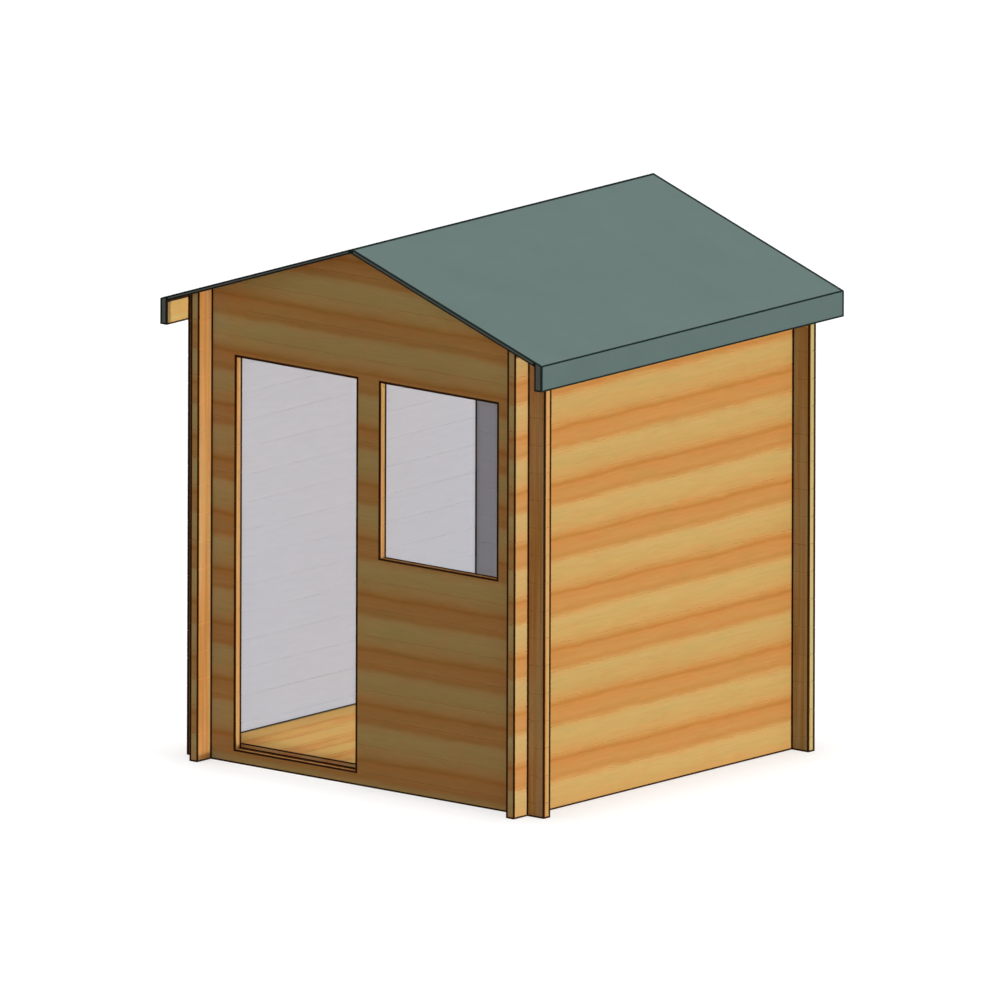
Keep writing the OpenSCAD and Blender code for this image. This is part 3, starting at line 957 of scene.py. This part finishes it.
mesh = bmesh.new()
bmesh.ops.create_grid(mesh, x_segments=1, y_segments=1, size=FLOOR_SIZE / 2)
data = bpy.data.meshes.new("studio_floor")
mesh.to_mesh(data)
mesh.free()
studio_floor = bpy.data.objects.new("studio_floor", data)
bpy.context.scene.collection.objects.link(studio_floor)
floor_paint = bpy.data.materials.new("studio_floor_paint")
floor_paint.use_nodes = True
tree = floor_paint.node_tree
tree.nodes.clear()
direct = seen_directly(tree)
matt = tree.nodes.new("ShaderNodeBsdfDiffuse")
tree.links.new(blend(tree, direct, FLOOR_GREY, FLOOR_GREY_SEEN), matt.inputs["Color"])
glow = tree.nodes.new("ShaderNodeEmission")
tree.links.new(maths(tree, "MULTIPLY", direct, FLOOR_GLOW_SEEN), glow.inputs["Strength"])
both = tree.nodes.new("ShaderNodeAddShader")
tree.links.new(matt.outputs["BSDF"], both.inputs[0])
tree.links.new(glow.outputs["Emission"], both.inputs[1])
surface = tree.nodes.new("ShaderNodeOutputMaterial")
tree.links.new(both.outputs["Shader"], surface.inputs["Surface"])
data.materials.append(floor_paint)

world = bpy.data.worlds.new("white_surround")
bpy.context.scene.world = world
world.use_nodes = True
tree = world.node_tree
background = tree.nodes["Background"]
background.inputs["Color"].default_value = (1.0, 1.0, 1.0, 1.0)
strength = spread(tree, seen_directly(tree), 0.0, 1.0, AMBIENT, 1.0)
tree.links.new(strength, background.inputs["Strength"])


def add_sun(name, towards, level, softness):
    """A broad lamp far away. `towards` points from the cabin to the lamp, level 1 shows a
    facing colour as it is written, and softness is its width in degrees."""
    lamp = bpy.data.lights.new(name, "SUN")
    lamp.energy = math.pi * level
    lamp.angle = math.radians(softness)
    holder = bpy.data.objects.new(name, lamp)
    holder.rotation_mode = "QUATERNION"
    holder.rotation_quaternion = Vector(towards).to_track_quat("Z", "Y")
    bpy.context.scene.collection.objects.link(holder)


add_sun("key_lamp", (1.0, 0.0, 0.08), level=0.70, softness=8)
add_sun("top_lamp", (0.0, 0.0, 1.0), level=0.535, softness=12)
add_sun("back_lamp", (-0.75, 0.66, 0.10), level=0.30, softness=15)


def add_near_lamp(name, low, high, towards, level, beam, colour=(1.0, 1.0, 1.0)):
    """A flat lamp near a face that the others don't reach, with its corners at low and high.
    The camera doesn't see it. Beam is how wide it throws its light, in degrees."""
    width, height = [side for side in Vector(high) - Vector(low) if side]
    lamp = bpy.data.lights.new(name, "AREA")
    lamp.shape = "RECTANGLE"
    lamp.size = width
    lamp.size_y = height
    lamp.energy = math.pi * level * width * height
    lamp.spread = math.radians(beam)
    lamp.color = colour
    holder = bpy.data.objects.new(name, lamp)
    holder.location = (Vector(low) + Vector(high)) / 2
    holder.rotation_mode = "QUATERNION"
    holder.rotation_quaternion = (-Vector(towards)).to_track_quat("Z", "Y")
    holder.visible_camera = False
    bpy.context.scene.collection.objects.link(holder)


LEFTWARDS = (-1.0, 0.0, 0.0)
LEFT_CORNERWARDS = (-1.0, 0.065, -0.06)  # turned a little, to light the walls into their corners
DOWNWARDS = (0.0, 0.0, -1.0)
COOL = (0.955, 1.0, 1.025)  # for the grey coat
STRAW_LIGHT = (0.97, 0.945, 0.84)  # for the floor boards
ROOM_LAMP_PLAY = 0.006  # from the walls beside it
ROOM_LAMP_X = 0.74
ROOM_LAMP_HEIGHTS = (0.085, 2.025)
ROOM_TOP_LAMP_HEIGHT = 2.020
DOOR_LAMP_X = -0.55
DOOR_LAMP_LOW = 0.075
WINDOW_LAMP_X = 0.25
CORNER_LAMP_X = -0.60
CORNER_LAMP_PLAY = 0.002  # from the log ends and from the front wall's face
CORNER_LAMP_HEIGHTS = (0.030, 2.050)
RIGHT_EAVES_LAMP_X = 0.960
RIGHT_EAVES_LAMP_HEIGHTS = (1.873, 2.008)
LEFT_EAVES_LAMP_X = -0.993
LEFT_EAVES_LAMP_DEPTHS = (-0.9825, -0.8575)  # only the front end of that board shows

reach = inner_face - ROOM_LAMP_PLAY
add_near_lamp(
    "room_side_lamp",
    low=(ROOM_LAMP_X, -reach, ROOM_LAMP_HEIGHTS[0]),
    high=(ROOM_LAMP_X, reach, ROOM_LAMP_HEIGHTS[1]),
    towards=LEFT_CORNERWARDS,
    level=0.835,
    beam=6,
    colour=COOL,
)
add_near_lamp(
    "room_top_lamp",
    low=(-reach, -reach, ROOM_TOP_LAMP_HEIGHT),
    high=(reach, reach, ROOM_TOP_LAMP_HEIGHT),
    towards=DOWNWARDS,
    level=0.615,
    beam=16,
    colour=STRAW_LIGHT,
)
add_near_lamp(
    "door_lamp",
    low=(DOOR_LAMP_X, -outer_face, DOOR_LAMP_LOW),
    high=(DOOR_LAMP_X, -inner_face, openings_high),
    towards=LEFTWARDS,
    level=0.69,
    beam=12,
)
add_near_lamp(
    "window_lamp",
    low=(WINDOW_LAMP_X, -outer_face, window_low),
    high=(WINDOW_LAMP_X, -inner_face, openings_high),
    towards=LEFTWARDS,
    level=0.70,
    beam=12,
)
add_near_lamp(
    "corner_lamp",
    low=(CORNER_LAMP_X, CORNER_LAMP_PLAY - log_end, CORNER_LAMP_HEIGHTS[0]),
    high=(CORNER_LAMP_X, -CORNER_LAMP_PLAY - outer_face, CORNER_LAMP_HEIGHTS[1]),
    towards=LEFTWARDS,
    level=0.46,
    beam=6,
)
add_near_lamp(
    "right_eaves_lamp",
    low=(RIGHT_EAVES_LAMP_X, -log_end, RIGHT_EAVES_LAMP_HEIGHTS[0]),
    high=(RIGHT_EAVES_LAMP_X, log_end, RIGHT_EAVES_LAMP_HEIGHTS[1]),
    towards=LEFTWARDS,
    level=0.70,
    beam=20,
)
add_near_lamp(
    "left_eaves_lamp",
    low=(LEFT_EAVES_LAMP_X, LEFT_EAVES_LAMP_DEPTHS[0], eaves_bottom),
    high=(LEFT_EAVES_LAMP_X, LEFT_EAVES_LAMP_DEPTHS[1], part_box("left_eaves_board")[1].z),
    towards=LEFTWARDS,
    level=0.86,
    beam=40,
)

# The camera stands at the front right, a little above the cabin, with a parallel view. Its
# three angles are in radians.
AZIMUTH = 0.6953
ELEVATION = 0.2145
ROLL = 0.0031
VIEW_WIDTH = 4.2574
VIEW_RIGHT = 0.57017
VIEW_UP = 1.22299
CAMERA_DISTANCE = 8.0

right = Vector((math.cos(AZIMUTH), math.sin(AZIMUTH), 0.0))
outwards = Vector((math.sin(AZIMUTH), -math.cos(AZIMUTH), 0.0))
back = outwards * math.cos(ELEVATION) + Vector((0.0, 0.0, math.sin(ELEVATION)))
up = back.cross(right)
middle = Vector((0.0, -outer_face, 0.0)) + right * VIEW_RIGHT + up * VIEW_UP
lens = bpy.data.cameras.new("studio_camera")
lens.type = "ORTHO"
lens.ortho_scale = VIEW_WIDTH
lens.clip_end = 200.0
camera = bpy.data.objects.new("studio_camera", lens)
own_right = right * math.cos(ROLL) + up * math.sin(ROLL)
own_up = back.cross(own_right)
turn = Matrix((own_right, own_up, back)).transposed().to_4x4()
camera.matrix_world = Matrix.Translation(middle + back * CAMERA_DISTANCE) @ turn
bpy.context.scene.collection.objects.link(camera)
bpy.context.scene.camera = camera
bpy.context.scene.view_settings.view_transform = "Standard"
